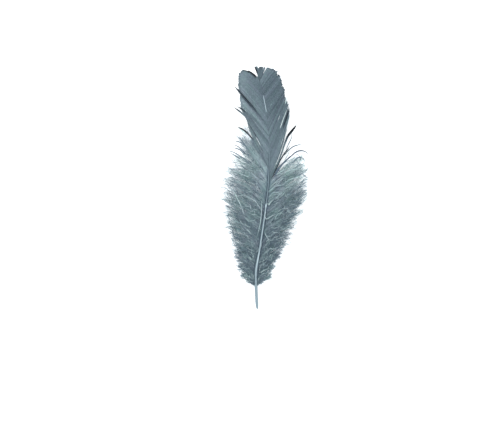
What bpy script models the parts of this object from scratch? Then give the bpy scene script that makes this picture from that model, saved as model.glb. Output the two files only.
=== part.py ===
"""A goose quill feather, dyed slate grey, lying on its underside: one grown piece.

The shaft runs along +Y from its bare butt to the tip. A vane grows from each side of it: loose down over the
lower half, firm web over the upper half. Both are modelled as locks that share their roots and part towards
their tips. +Z is up, and the middle of the underside's box is the origin.
"""

import math

import bmesh
import bpy
import numpy as np
from mathutils import Matrix

MM = 0.001

# The point of the plan under the middle of the box, measured from the butt of the shaft: (across, along).
BOX_MIDDLE = (4.806 * MM, 80.07 * MM)

# The shaft: (station along it, how far it has strayed across, height of its axis, radius).
SHAFT = np.array(
    [
        (0.0, 0.0, 0.55, 0.62),
        (4.0, -0.3, 1.0, 0.95),
        (22.0, -1.0, 3.2, 1.0),
        (39.0, 1.5, 5.6, 0.92),
        (60.5, 4.7, 7.8, 0.8),
        (85.0, 7.4, 8.6, 0.66),
        (103.0, 7.9, 8.0, 0.56),
        (126.0, 6.4, 5.7, 0.5),
        (143.0, 3.3, 3.0, 0.42),
        (153.0, 1.0, 1.3, 0.38),
    ]
) * MM
SHAFT_SIDES = 2  # bevel resolution of the round section
SHAFT_STEP = 4.0 * MM

# The barbs by the station of their root: (station, angle from the shaft in degrees, how much further the barb
# turns outwards by its tip in degrees, length, height of the tip, how far the middle stands above the chord).
LEFT, RIGHT = -1, 1
BARBS = {
    LEFT: [
        (15.8, 42, 24, 10.5, 0.3, 0.8),
        (29.0, 46, 36, 20.5, 0.3, 1.8),
        (42.0, 47, 40, 28.5, 0.3, 2.6),
        (55.0, 47, 42, 33.7, 0.3, 2.8),
        (68.5, 46, 42, 36.5, 0.4, 2.6),
        (77.0, 41, 42, 35.2, 0.9, 2.2),
        (81.6, 35, 38, 31.9, 1.6, 1.6),
        (84.9, 31, 26, 28.0, 2.8, 1.0),
        (87.5, 32, 9, 31.5, 3.8, 0.8),
        (90.1, 28, 4, 25.5, 3.8, 0.8),
        (92.8, 28.5, 2, 28.2, 3.5, 0.8),
        (96.1, 29, 1, 31.5, 3.2, 0.8),
        (101.3, 31.2, 3, 31.2, 3.2, 0.8),
        (107.9, 32.5, 6, 31.4, 3.0, 0.8),
        (112.5, 32, 6, 30.0, 2.6, 0.8),
        (118.4, 30, 8, 30.3, 2.0, 0.8),
        (125.7, 26, 14, 29.6, 1.4, 0.8),
        (134.2, 23, 17, 25.9, 0.8, 0.7),
        (138.8, 19, 22, 23.1, 0.6, 0.6),
        (142.8, 12, 32, 19.4, 0.4, 0.5),
        (146.7, 4, 48, 13.5, 0.35, 0.3),
        (148.9, 1, 46, 8.6, 0.35, 0.1),
        (150.0, 8, 0, 10.3, 0.3, 0.1),
        (153.0, -8, 0, 7.2, 0.3, 0.0),
    ],
    RIGHT: [
        (15.8, 46, 24, 12.0, 0.3, 0.8),
        (25.7, 30, 32, 23.0, 0.3, 1.6),
        (35.5, 27, 36, 30.0, 0.3, 2.2),
        (48.7, 25, 40, 36.1, 0.3, 2.8),
        (61.9, 28, 42, 37.5, 0.3, 2.8),
        (71.7, 25, 46, 37.5, 0.6, 2.6),
        (77.0, 21, 52, 36.2, 1.2, 2.0),
        (80.8, 15, 60, 34.9, 2.0, 1.4),
        (81.5, 19, 20, 33.3, 2.6, 1.2),
        (82.6, 22, 3, 42.5, 3.2, 1.0),
        (83.6, 22, -12, 36.5, 3.6, 0.8),
        (86.9, 21, -8, 39.0, 3.5, 0.8),
        (90.1, 20.7, -6, 40.8, 3.4, 0.8),
        (98.0, 21.3, -4, 37.8, 3.2, 0.8),
        (104.6, 23, -2, 33.6, 3.0, 0.8),
        (111.2, 26, 0, 29.2, 2.6, 0.8),
        (117.8, 30, 2, 25.2, 2.1, 0.8),
        (124.4, 35, 4, 22.3, 1.5, 0.7),
        (130.9, 41, 6, 19.9, 1.0, 0.6),
        (137.5, 45, 10, 18.2, 0.6, 0.5),
        (142.8, 44, 12, 16.6, 0.4, 0.4),
        (146.7, 41, 10, 13.7, 0.35, 0.3),
        (149.4, 37, 6, 10.8, 0.35, 0.1),
        (150.6, 41, 0, 9.6, 0.3, 0.1),
        (153.0, 14, 0, 7.1, 0.3, 0.0),
    ],
}

# The web's locks: (first root, last root, share of the length at which its sides come clear of its neighbours,
# swing outwards in degrees, how much longer it is than the barbs round it, how far it stands over them).
WEB_LOCKS = {
    LEFT: [
        (86.2, 90.6, 0.55, 0.0, 1.0, 0.0),
        (90.6, 91.8, 0.4, 11.0, 1.33, 1.2),
        (91.8, 97.4, 0.4, 0.0, 1.0, 0.0),
        (97.4, 107.0, 0.83, 0.0, 1.0, 0.0),
        (107.0, 108.2, 0.45, 5.5, 1.07, 0.8),
        (108.2, 117.4, 0.6, 0.0, 1.0, 0.0),
        (117.4, 119.2, 0.45, 1.0, 1.13, 0.8),
        (119.2, 127.5, 0.75, 0.0, 1.0, 0.0),
        (127.5, 138.0, 0.83, 0.0, 1.0, 0.0),
        (138.0, 147.6, 0.83, 0.0, 1.0, 0.0),
        (149.9, 152.8, 0.2, 0.0, 1.0, 0.0),
    ],
    RIGHT: [
        (81.1, 81.9, 0.15, 0.0, 1.0, 0.3),
        (82.0, 83.2, 0.3, 0.0, 1.0, 0.6),
        (83.6, 91.6, 0.75, 0.0, 1.0, 0.0),
        (91.6, 100.0, 0.6, 0.0, 1.0, 0.0),
        (100.0, 111.0, 0.6, 0.0, 1.0, 0.0),
        (111.0, 121.0, 0.83, 0.0, 1.0, 0.0),
        (121.0, 131.0, 0.83, 0.0, 1.0, 0.0),
        (131.0, 141.2, 0.83, 0.0, 1.0, 0.0),
        (141.2, 149.6, 0.7, 0.0, 1.0, 0.0),
        (150.6, 152.8, 0.2, 0.0, 1.0, 0.0),
    ],
}
WEB_THICKNESS = 0.5 * MM
WEB_GAP = 0.25 * MM  # how far each side of a lock of web has drawn back at its tip
WEB_ROWS = 3  # spaces between the rows of a lock of web

# The down's locks: as many on each side, from the lowest root to the highest.
DOWN_FIRST = 15.5 * MM
DOWN_LAST = {LEFT: 86.2 * MM, RIGHT: 80.8 * MM}
DOWN_LOCKS = 15
DOWN_THICKNESS = 3.2 * MM
DOWN_GAP = 3.0 * MM
DOWN_CLEAR = 0.8
DOWN_SWING = 4.0  # most degrees that a lock strays from the barbs round it
DOWN_LIFT = 2.2 * MM  # every other lock stands this much higher, the ones between this much lower
DOWN_ROWS = 4
DOWN_SEED = 7

WEB_OVERLAP = 0.3 * MM  # how far a lock reaches into its neighbours at the root
DOWN_OVERLAP = 1.1 * MM
SHINGLE = 0.08 * MM  # every other lock lies this much higher all over, the ones between this much lower
MOST_DRAWN = 0.85  # most that the sides of a lock draw back, as a share of its half width
ROOT_DEPTH = 0.1 * MM  # how far a lock's root reaches past the shaft's axis
EDGE = 0.16  # thickness at the sides and tip of a lock of down, as a share of its middle
COLUMNS = (0.0, 0.12, 0.3, 0.5, 0.7, 0.87, 1.0)  # shares of a barb's length
NARROW = 2.0 * MM  # a lock with its roots closer together than this has a row less, and barbs all alike

SLATE = (0.155, 0.212, 0.25, 1.0)
CREASE = math.radians(40)  # edges sharper than this stay sharp in the shading


def smooth(keys, at):
    """The rows of numbers that a smooth curve through the keys has at these stations, never past its keys."""
    keys = np.asarray(keys, float)
    x, y = keys[:, 0], keys[:, 1:]
    rise = np.diff(y, axis=0) / np.diff(x)[:, None]
    before, after = rise[:-1], rise[1:]
    turns = before * after <= 0
    between = np.where(turns, 0.0, 2 * before * after / np.where(turns, 1.0, before + after))
    slope = np.concatenate([rise[:1], between, rise[-1:]])
    at = np.clip(np.asarray(at, float), x[0], x[-1])
    i = np.clip(np.searchsorted(x, at) - 1, 0, len(x) - 2)
    span = (x[i + 1] - x[i])[..., None]
    w = (at - x[i])[..., None] / span
    ease = w * w * (3 - 2 * w)
    ends = y[i] * (1 - ease) + y[i + 1] * ease
    return ends + span * w * (1 - w) * (slope[i] * (1 - w) - slope[i + 1] * w)


def shaft_points(stations):
    """Points of the shaft's axis, from above (across, along) and as heights."""
    across, height, _ = smooth(SHAFT, stations).T
    return np.stack([across, stations, height], -1)


def shaft_lean(stations):
    """How far the shaft leans to the right of +Y, in radians."""
    step = 0.5 * MM
    ahead, behind = shaft_points(stations + step), shaft_points(stations - step)
    return np.arctan2(ahead[:, 0] - behind[:, 0], ahead[:, 1] - behind[:, 1])


def barb_keys(side):
    """The side's barbs with lengths in metres and angles in radians."""
    units = np.array([MM, math.radians(1), math.radians(1), MM, MM, MM])
    return np.array(BARBS[side]) * units


def barbs(side, roots, like, shares, swing, longer):
    """Points of the barbs that grow at these roots and are like those that grow at others."""
    angle, turn, length, tip, crown = smooth(barb_keys(side), like).T[..., None]
    turn = turn + 2 * swing
    t = shares
    heading = shaft_lean(roots)[:, None] + side * (angle + turn * t / 2)
    chord = length * longer * t * np.sinc(turn * t / (2 * math.pi))
    root = shaft_points(roots)[:, None]
    fall = t * t * (3 - 2 * t)
    height = root[..., 2] * (1 - fall) + tip * fall + crown * 4 * t * (1 - t)
    across = root[..., 0] + chord * np.sin(heading) - side * ROOT_DEPTH * (1 - t)
    along = root[..., 1] + chord * np.cos(heading)
    return np.stack([across, along, height], -1)


def down_locks(side):
    """The down's locks, from the butt up, in metres and radians."""
    chance = np.random.default_rng(DOWN_SEED + side)
    ends = np.linspace(DOWN_FIRST, DOWN_LAST[side], DOWN_LOCKS + 1)
    for k, (first, last) in enumerate(zip(ends[:-1], ends[1:])):
        grown = min(1.0, (k + 1) / 4)
        yield {
            "roots": (first, last),
            "rows": DOWN_ROWS,
            "clear": DOWN_CLEAR,
            "swing": math.radians(chance.uniform(-DOWN_SWING, DOWN_SWING)) * grown,
            "longer": chance.uniform(0.92, 1.06),
            "gap": DOWN_GAP,
            "overlap": DOWN_OVERLAP * grown,
            "shingle": SHINGLE * (1 if k % 2 else -1),
            "stand": 0.0,
            "lift": DOWN_LIFT * (1 if k % 2 else -1) * grown,
            "thickness": DOWN_THICKNESS * (0.5 + 0.5 * grown),
        }


def web_locks(side):
    """The web's locks, from the butt up, in metres and radians."""
    for k, (first, last, clear, swing, longer, stand) in enumerate(WEB_LOCKS[side], DOWN_LOCKS):
        yield {
            "roots": (first * MM, last * MM),
            "rows": WEB_ROWS - (last - first < NARROW / MM),
            "clear": clear,
            "swing": math.radians(swing),
            "longer": longer,
            "gap": WEB_GAP,
            "overlap": WEB_OVERLAP,
            "shingle": SHINGLE * (1 if k % 2 else -1),
            "stand": stand * MM,
            "lift": 0.0,
            "thickness": WEB_THICKNESS,
        }


def lock_rows(side, lock):
    """The rows of points that a lock spans from its first root to its last, and its thickness at each."""
    first, last = lock["roots"]
    w = np.linspace(-1, 1, lock["rows"] + 1)[:, None]
    t = np.array(COLUMNS)
    roots = first + (last - first) * (w[:, 0] + 1) / 2
    like = roots if last - first > NARROW else np.full(len(w), (first + last) / 2)
    points = barbs(side, roots, like, t, lock["swing"], lock["longer"])
    middle = (points[0, :, :2] + points[-1, :, :2]) / 2
    half = np.linalg.norm(points[-1, :, :2] - middle, axis=-1)
    past = np.maximum(t - lock["clear"], 0.0) / (1 - lock["clear"])
    wider = lock["overlap"] * np.maximum(1 - t / lock["clear"], 0.0) / half
    wider = wider - np.minimum(lock["gap"] / half, MOST_DRAWN) * past**1.5
    points[..., :2] += (points[..., :2] - middle) * wider[:, None]
    points[..., 2] += lock["lift"] * np.sin(math.pi * t) * (1 - w * w * t)
    points[..., 2] += lock["shingle"] + lock["stand"] * np.minimum(3 * t, 1.0)
    body = EDGE + (1 - EDGE) * np.sin(math.pi * t**0.7)
    share = body * (1 - w * w * (1 - EDGE))
    return points, np.maximum(share * lock["thickness"], WEB_THICKNESS)


def shade(mesh):
    """Rounded stretches look smooth, and the thin rims stay crisp."""
    mesh.shade_smooth()
    mesh.set_sharp_from_angle(angle=CREASE)


def lock_solid(side, lock, collection):
    """One lock as a closed solid: a loft through its sections, which differ in width, thickness and slope.

    What would sink into the surface that the feather lies on is pressed flat on it.
    """
    points, thickness = lock_rows(side, lock)
    bottom = points.copy()
    bottom[..., 2] = np.maximum(points[..., 2] - thickness / 2, 0.0)
    top = points.copy()
    top[..., 2] = np.maximum(points[..., 2] + thickness / 2, bottom[..., 2] + WEB_THICKNESS)
    bm = bmesh.new()
    over = [[bm.verts.new(point) for point in row] for row in top]
    under = [[bm.verts.new(point) for point in row] for row in bottom]
    strips = [*zip(over[:-1], over[1:]), *zip(under[:-1], under[1:])]
    strips += [(over[end], under[end]) for end in (0, -1)]
    strips += [([row[end] for row in over], [row[end] for row in under]) for end in (0, -1)]
    for lower, upper in strips:
        for a, b, c, d in zip(lower[:-1], lower[1:], upper[1:], upper[:-1]):
            bm.faces.new((a, b, c))
            bm.faces.new((a, c, d))
    bmesh.ops.recalc_face_normals(bm, faces=bm.faces)
    mesh = bpy.data.meshes.new("lock")
    bm.to_mesh(mesh)
    bm.free()
    shade(mesh)
    solid = bpy.data.objects.new("lock", mesh)
    collection.objects.link(solid)
    solid.hide_render = True
    solid.display_type = "WIRE"


def welded_copy(obj, name):
    """A new mesh object of what the curve settings make, with the seams of its caps welded."""
    mesh = bpy.data.meshes.new_from_object(obj.evaluated_get(bpy.context.evaluated_depsgraph_get()))
    bm = bmesh.new()
    bm.from_mesh(mesh)
    bmesh.ops.remove_doubles(bm, verts=bm.verts, dist=0.002 * MM)
    bmesh.ops.recalc_face_normals(bm, faces=bm.faces)
    for vertex in bm.verts:
        vertex.co.z = max(vertex.co.z, 0.0)
    bm.to_mesh(mesh)
    bm.free()
    shade(mesh)
    copy = bpy.data.objects.new(name, mesh)
    copy.matrix_world = obj.matrix_world
    return copy


def shaft(collection):
    """The quill and shaft: a round tube that thins from the butt to the tip."""
    stations = np.arange(SHAFT[0, 0], SHAFT[-1, 0] + SHAFT_STEP / 2, SHAFT_STEP)
    stations[-1] = SHAFT[-1, 0]
    points = shaft_points(stations)
    radii = smooth(SHAFT, stations)[:, 2]
    curve = bpy.data.curves.new("shaft", "CURVE")
    curve.dimensions = "3D"
    curve.bevel_depth = radii.max()
    curve.bevel_resolution = SHAFT_SIDES
    curve.use_fill_caps = True
    spline = curve.splines.new("POLY")
    spline.points.add(len(points) - 1)
    for target, point, radius in zip(spline.points, points, radii):
        target.co = (*point, 1.0)
        target.radius = radius / radii.max()
    tube = bpy.data.objects.new("tube", curve)
    collection.objects.link(tube)
    bpy.context.view_layer.update()
    solid = welded_copy(tube, "shaft")
    collection.objects.link(solid)
    bpy.data.objects.remove(tube)
    return solid


def material():
    made = bpy.data.materials.new("dyed_feather")
    made.use_nodes = True
    shader = made.node_tree.nodes["Principled BSDF"]
    shader.inputs["Base Color"].default_value = SLATE
    shader.inputs["Roughness"].default_value = 0.6
    shader.inputs["Metallic"].default_value = 0.0
    return made


def main():
    for obj in list(bpy.data.objects):
        bpy.data.objects.remove(obj)
    part = bpy.data.collections.new("goose_quill_feather")
    locks = bpy.data.collections.new("locks")
    for collection in (part, locks):
        bpy.context.scene.collection.children.link(collection)
    feather = shaft(part)
    feather.name = "feather"
    for side in (LEFT, RIGHT):
        for lock in [*down_locks(side), *web_locks(side)]:
            lock_solid(side, lock, locks)
    union = feather.modifiers.new("Locks", "BOOLEAN")
    union.operation = "UNION"
    union.solver = "EXACT"
    union.operand_type = "COLLECTION"
    union.collection = locks
    feather.data.materials.append(material())
    shift = Matrix.Translation((-BOX_MIDDLE[0], -BOX_MIDDLE[1], 0))
    for obj in [*part.objects, *locks.objects]:
        obj.matrix_world = shift @ obj.matrix_world


main()
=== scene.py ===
"""Looks of the goose quill feather: the quill, every barb of its web, its down with barbules, and the light.

Places on the feather are measured from the butt of the shaft, across it and along it, as its solids' are.
"""

import math

import bpy
import numpy as np
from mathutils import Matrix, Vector


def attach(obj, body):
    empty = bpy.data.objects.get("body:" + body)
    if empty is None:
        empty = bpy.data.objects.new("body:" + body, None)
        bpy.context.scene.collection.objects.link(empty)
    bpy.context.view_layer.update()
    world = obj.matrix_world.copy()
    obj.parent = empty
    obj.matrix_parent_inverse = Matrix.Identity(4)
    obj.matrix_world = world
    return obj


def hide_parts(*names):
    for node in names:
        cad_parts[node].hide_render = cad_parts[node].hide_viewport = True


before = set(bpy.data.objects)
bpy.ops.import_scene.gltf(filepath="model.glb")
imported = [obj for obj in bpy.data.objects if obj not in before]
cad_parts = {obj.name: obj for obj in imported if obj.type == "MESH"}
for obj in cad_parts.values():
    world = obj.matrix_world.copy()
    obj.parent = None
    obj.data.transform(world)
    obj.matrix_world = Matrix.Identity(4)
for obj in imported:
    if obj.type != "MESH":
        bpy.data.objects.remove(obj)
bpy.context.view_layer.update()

MM = 0.001
UP = np.array([0.0, 0.0, 1.0])
UV_MARGIN = 0.01

# ---- The feather's form, the same as that of its solids ----

# The point of the plan under the middle of the box, measured from the butt of the shaft: (across, along).
BOX_MIDDLE = (4.806 * MM, 80.07 * MM)

# The shaft: (station along it, how far it has strayed across, height of its axis, radius).
SHAFT = np.array([
    (0, 0, 0.55, 0.62), (4, -0.3, 1, 0.95), (22, -1, 3.2, 1), (39, 1.5, 5.6, 0.92),
    (60.5, 4.7, 7.8, 0.8), (85, 7.4, 8.6, 0.66), (103, 7.9, 8, 0.56), (126, 6.4, 5.7, 0.5),
    (143, 3.3, 3, 0.42), (153, 1, 1.3, 0.38),
]) * MM
SHAFT_LENGTH = SHAFT[-1, 0]

LEFT, RIGHT = -1, 1
SIDES = {LEFT: "left", RIGHT: "right"}

# The barbs by the station of their root: (station, angle from the shaft in degrees, how much further the barb
# turns outwards by its tip in degrees, length, height of the tip, how far the middle stands above the chord).
BARBS = {
    LEFT: [
        (15.8, 42, 24, 10.5, 0.3, 0.8), (29, 46, 36, 20.5, 0.3, 1.8), (42, 47, 40, 28.5, 0.3, 2.6),
        (55, 47, 42, 33.7, 0.3, 2.8), (68.5, 46, 42, 36.5, 0.4, 2.6), (77, 41, 42, 35.2, 0.9, 2.2),
        (81.6, 35, 38, 31.9, 1.6, 1.6), (84.9, 31, 26, 28, 2.8, 1), (87.5, 32, 9, 31.5, 3.8, 0.8),
        (90.1, 28, 4, 25.5, 3.8, 0.8), (92.8, 28.5, 2, 28.2, 3.5, 0.8),
        (96.1, 29, 1, 31.5, 3.2, 0.8), (101.3, 31.2, 3, 31.2, 3.2, 0.8),
        (107.9, 32.5, 6, 31.4, 3, 0.8), (112.5, 32, 6, 30, 2.6, 0.8), (118.4, 30, 8, 30.3, 2, 0.8),
        (125.7, 26, 14, 29.6, 1.4, 0.8), (134.2, 23, 17, 25.9, 0.8, 0.7),
        (138.8, 19, 22, 23.1, 0.6, 0.6), (142.8, 12, 32, 19.4, 0.4, 0.5),
        (146.7, 4, 48, 13.5, 0.35, 0.3), (148.9, 1, 46, 8.6, 0.35, 0.1),
        (150, 8, 0, 10.3, 0.3, 0.1), (153, -8, 0, 7.2, 0.3, 0),
    ],
    RIGHT: [
        (15.8, 46, 24, 12, 0.3, 0.8), (25.7, 30, 32, 23, 0.3, 1.6), (35.5, 27, 36, 30, 0.3, 2.2),
        (48.7, 25, 40, 36.1, 0.3, 2.8), (61.9, 28, 42, 37.5, 0.3, 2.8),
        (71.7, 25, 46, 37.5, 0.6, 2.6), (77, 21, 52, 36.2, 1.2, 2), (80.8, 15, 60, 34.9, 2, 1.4),
        (81.5, 19, 20, 33.3, 2.6, 1.2), (82.6, 22, 3, 42.5, 3.2, 1),
        (83.6, 22, -12, 36.5, 3.6, 0.8), (86.9, 21, -8, 39, 3.5, 0.8),
        (90.1, 20.7, -6, 40.8, 3.4, 0.8), (98, 21.3, -4, 37.8, 3.2, 0.8),
        (104.6, 23, -2, 33.6, 3, 0.8), (111.2, 26, 0, 29.2, 2.6, 0.8),
        (117.8, 30, 2, 25.2, 2.1, 0.8), (124.4, 35, 4, 22.3, 1.5, 0.7),
        (130.9, 41, 6, 19.9, 1, 0.6), (137.5, 45, 10, 18.2, 0.6, 0.5),
        (142.8, 44, 12, 16.6, 0.4, 0.4), (146.7, 41, 10, 13.7, 0.35, 0.3),
        (149.4, 37, 6, 10.8, 0.35, 0.1), (150.6, 41, 0, 9.6, 0.3, 0.1), (153, 14, 0, 7.1, 0.3, 0),
    ],
}
BARB_UNITS = [MM, math.radians(1), math.radians(1), MM, MM, MM]

# The web's locks: (first root, last root, share of the length at which its sides come clear, swing outwards
# in degrees, how much longer it is than the barbs round it, how far it stands over them, how far its upper
# side stands over its lower side at the tip, how much lighter its lower side, upper side and rim are).
# Their darker sides and rims are partly darker barbs and partly painted shadow along edges where locks
# overlap.
WEB_LOCKS = {
    LEFT: [
        (86.2, 90.6, 0.7, 0, 1, 0, 0.3, 0.1, 0.1, 0),
        (91.4, 92.6, 0.4, 10, 1.33, 0.7, 0, 0.3, -0.9, 0),
        (91.8, 97.4, 0.62, 0, 1, 0, 0.3, 0.1, 0, 0),
        (97.4, 107, 0.83, 0, 1, 0, 0.3, 0, 0, 0),
        (107, 108.2, 0.45, 5.5, 1.12, 0.5, 0, -0.4, -0.7, 0),
        (107.3, 118.2, 0.8, 0, 1, 0, 0.4, 0, 0.06, 0),
        (113.1, 113.9, 0.45, 8, 1, 0.5, 0, -0.4, -0.7, 0),
        (118.2, 119.8, 0.45, 0, 1.17, 0.5, 0, -0.35, -0.65, 0),
        (119.8, 127.5, 0.75, 0, 1.03, 0, 0.3, 0, 0.02, 0),
        (127.5, 138, 0.93, 0, 1.02, 0, 0.2, 0.02, 0.04, 0),
        (138, 147.6, 0.93, 0, 1, 0, 0.1, 0.02, 0.06, 0),
        (147.6, 149.9, 0.9, 0, 0.4, -0.1, 0, 0, 0, 0),
        (149.9, 152.8, 0.2, 1, 0.95, 0.3, 0, -0.6, 0, 0),
    ],
    RIGHT: [
        (80.7, 83.5, 0.9, 0, 0.36, -0.2, 0, -0.3, -0.3, 0),
        (81.5, 82.3, 0.15, -1, 0.82, 0.3, 0, -0.4, -0.7, 0),
        (82.5, 83.7, 0.3, 4, 1.12, 0.6, 0, -0.6, -0.85, 0),
        (83.6, 91.6, 0.75, 0, 1, 0, -0.2, 0, 0, 0),
        (91.6, 100, 0.6, 0, 1, 0, -0.2, 0, 0, 0),
        (100, 111, 0.6, 0, 1, 0, -0.2, 0, 0.04, 0),
        (111, 121, 0.83, 0, 1, 0, -0.2, -0.02, 0, -0.06),
        (121, 131, 0.83, 0, 1, 0, -0.2, -0.03, 0, -0.06),
        (131, 141.2, 0.83, 0, 1, 0, -0.1, -0.04, -0.04, -0.06),
        (141.2, 149.6, 0.7, 0, 1, 0, 0, -0.04, 0.06, 0.1),
        (149.6, 150.5, 0.9, -0.5, 0.55, -0.1, 0, 0, 0, 0),
        (150.5, 152.8, 0.4, -2.5, 0.96, 0, 0, 0.05, -0.25, 0),
        (150.7, 152.8, 0.9, -14, 0.86, 0.2, 0, 0, -0.1, 0),
    ],
}
# The rim of a lock starts this far before its last root, and its shade is full this far before it.
WEB_RIM = (-1.3 * MM, -0.39 * MM)

# The slim ones among them, by their first root: (how far each bows in before its tip and half its width, in
# mm, how far out it has its full width, from where to where its own shade sets in).
SLIM_LOCKS = {
    LEFT: {
        91.4: (1.2, 0.75, 0.6, 0.55, 0.68),
        107: (0.6, 0.22, 0.5, 0.8, 0.9),
        113.1: (0, 0.22, 0.5, 0.66, 0.84),
        118.2: (-0.3, 0.29, 0.9, 0.1, 0.7),
    },
    RIGHT: {
        81.5: (0.5, 0.16, 0.6, 0.2, 0.35),
        82.5: (2.1, 0.33, 0.85, 0.6, 0.8),
    },
}
SLIM_TAPER = 0.8  # the share of its length from which it tapers
SLIM_BOW = (0.3, 0.8, 0.7, 1)  # the shares in which it bows in and comes back out

# How much lighter the web is by the station of its roots, partly its own tone and partly painted shade and
# light: darker next to the shaft in the upper web and on the right, lighter on the left: (station, next to
# the shaft, halfway, at the tips).
WEB_LIGHTER = {
    LEFT: [
        (87, 0.06, 0.22, 0.3), (98, 0.06, 0.1, 0.1), (118, 0.04, 0.05, 0.15),
        (140, -0.1, -0.04, 0.1),
    ],
    RIGHT: [
        (83, 0.06, 0.15, 0.1), (100, 0.02, 0.02, 0), (120, 0, -0.05, -0.05),
        (140, -0.07, -0.06, -0.05),
    ],
}

# Bands of barbs of the web painted lighter or darker: painted glints, painted light in slits and painted
# shadow along
# edges where locks overlap: (station of the middle root, from and to as shares of the barbs' length, how much
# lighter, width along the shaft in mm).
LIGHT_AND_SHADE_BANDS = {
    LEFT: [
        (92.9, 0.45, 0.72, 0.25, 0.26), (96.6, 0.32, 0.6, 0.5, 0.28), (90.3, 0.8, 1.04, 0.9, 0.4),
        (97.2, 0.5, 1, -0.6, 0.4), (95.7, 0.25, 0.6, -0.7, 0.36), (87.6, 0.3, 0.75, -0.55, 0.4),
        (146.6, 0.45, 1, -0.7, 1.8), (144.4, 0.8, 1.06, -0.8, 1.6), (142.6, 0.88, 1.06, -0.7, 1.5),
    ],
    RIGHT: [
        (100.9, 0.5, 0.9, 1, 0.7), (95.6, 0.62, 1.02, -0.42, 2.2), (90.6, 0.62, 0.84, -0.3, 0.8),
        (86.8, 0.78, 1.02, 0.35, 1.8), (98.8, 0.96, 1.02, 0.4, 1.5), (87.3, 0.5, 0.68, 1, 0.4),
        (84, 0.2, 0.42, 0.5, 0.25), (110, 0.47, 0.67, 0.75, 0.3), (104.6, 0.72, 0.92, 0.25, 0.35),
        (114.6, 0.82, 1, 0.3, 0.3), (118.4, 0.84, 0.97, 0.3, 0.26), (129.4, 0.22, 0.37, 0.45, 0.26),
        (138.7, 0.88, 1.02, 0.6, 0.3), (143.4, 0.88, 1.02, 0.6, 0.3),
    ],
}

# How much of a barb's length is closed web, by the station of its root: the rest is loose.
WEB_CLOSED = {
    LEFT: [
        (86, 0.7), (88, 0.72), (90.6, 0.76), (91.8, 0.82), (97, 0.86), (104, 0.93), (112, 0.97),
        (153, 0.98),
    ],
    RIGHT: [(81, 0.25), (83, 0.5), (84.5, 0.85), (90, 0.95), (111, 0.97), (153, 0.98)],
}
WEB_GAP = 0.25 * MM  # how far each side of a lock of web has drawn back at its tip

# The down's locks: as many on each side, from the lowest root to the highest.
DOWN_FIRST = 15.5 * MM
DOWN_LAST = {LEFT: 86.2 * MM, RIGHT: 80.8 * MM}
DOWN_LOCKS = 15
DOWN_THICKNESS = 3.2 * MM
DOWN_CLEAR = 0.8
DOWN_GROWN = 4  # the locks before this one, from the butt, are thinner and stray less
DOWN_LENGTHS = (0.92, 1.06)
# The locks draw in, stray and stand apart less than the solids' do.
DOWN_GAP = 0.6 * MM
DOWN_SWING = 2.0  # most degrees that a lock strays from the barbs round it
DOWN_LIFT = 0.22 * MM  # every other lock stands this much higher, the ones between this much lower
DOWN_SEED = 7

MOST_DRAWN = 0.85  # most that the sides of a lock draw back, as a share of its half width
DRAWN_LATE = 1.5  # the more, the closer to the tip they do so
LOCK_RISE = 3  # a lock stands over the rest in full from this part of its length on: one third
ROOT_DEPTH = 0.1 * MM  # how far a barb's root reaches past the shaft's axis
NARROW = 2.0 * MM  # the barbs of a lock with its roots closer together than this are all alike

# ---- What the solids leave out ----

WEB_SPACING = 0.32 * MM  # from one barb's root to the next
FINE_SPACING = 0.14 * MM  # the same in a narrow lock or in the fan at the tip
FAN_START = 149.7 * MM
WEB_COLUMNS = 30  # spaces between the points of a barb of web
WEB_PACKED = 0.92  # less than 1 sets them closer together towards the tip
WEB_OVERLAP = 1.7  # width of a barb with its barbules, in spacings
WEB_SPACINGS = (0.07 * MM, 0.6 * MM)  # the least and the most that this width goes by
WEB_ROLL = math.radians(7)  # each barb leans over the next one
WEB_UNEVEN = 0.02 * MM  # how much the heights of barbs differ
RIDGE = 0.05 * MM  # how far a barb's own shaft stands over its barbules
WEB_SECTION = [(-1, -0.4 * RIDGE), (-0.3, 0), (0, RIDGE), (0.3, 0), (1, -0.4 * RIDGE)]
BARE_BARB = 0.05 * MM  # half the width of a barb where its barbules are loose
BARE_TAPER = 0.7
BARE_FROM = 0.35  # the share of its loose end from which it is bare
RAGGED = 0.012  # how much the barbs' lengths differ
LOOSE_RAGGED = 0.12  # how much more those of wholly loose barbs do
SLIM_RAGGED = 0.3  # share of this in a slim lock
TOOTH = 1.2 * MM  # barbs whose roots are this far apart end in one tooth of the web's edge
TOOTH_WIDTHS = (0.85, 1.15)
TOOTH_BARBS = 3  # so many are longer or shorter together
TOOTH_RAGGED = (0.012, 0.035)  # by how much, and by how much on the right lobe of the tip
LOBE_ROOTS = (138 * MM, 142 * MM)  # that lobe sets in between these roots
# From which share of the barbs' length the ends of one tooth come together, and how far they do.
TOOTH_HELD = {LEFT: (0.92, 0.6), RIGHT: (0.86, 0.8)}
# The fan at the tip has even teeth that stand out more.
FAN_TOOTH = 1.25 * MM
FAN_RAGGED = 0.12
FAN_HELD = (0.6, 0.9)
LOOSE_FROM = 0.9  # barbs that are closed up to here or further have no loose barbules
LOOSE_BARBULES = 130  # on the loose end of a barb
LOOSE_LENGTH = 2.2 * MM
LOOSE_RISE = 0.5
LOOSE_LIGHTER = 0.1
LOOSE_SWAY = (1.2 * MM, 0.48 * MM)  # how far loose ends stray to the side and up
WEB_SEED = 11
RIPPLES = (5.5 * MM, 8.5 * MM, 13 * MM)  # lengths of the waves in the web
RIPPLE_RUN = 30  # the length of a barb in mm that the waves go by
RIPPLE_SLANT = (0.2, 0.6)
RIPPLE_DRIFT = 6  # mm
RIPPLE_WIDTH = 1.7  # length of the waves across the barbs, in lengths along them
RIPPLE_ASIDE = 0.12 * MM
RIPPLE_UP = 0.2 * MM
RIPPLE_IN, RIPPLE_OUT = 0.25, 0.75  # shares of a barb up to which the waves grow and from which they shrink
RIPPLE_CALM = 0.6  # how much of them is gone at the tip
RIPPLE_SEED = 5

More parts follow.
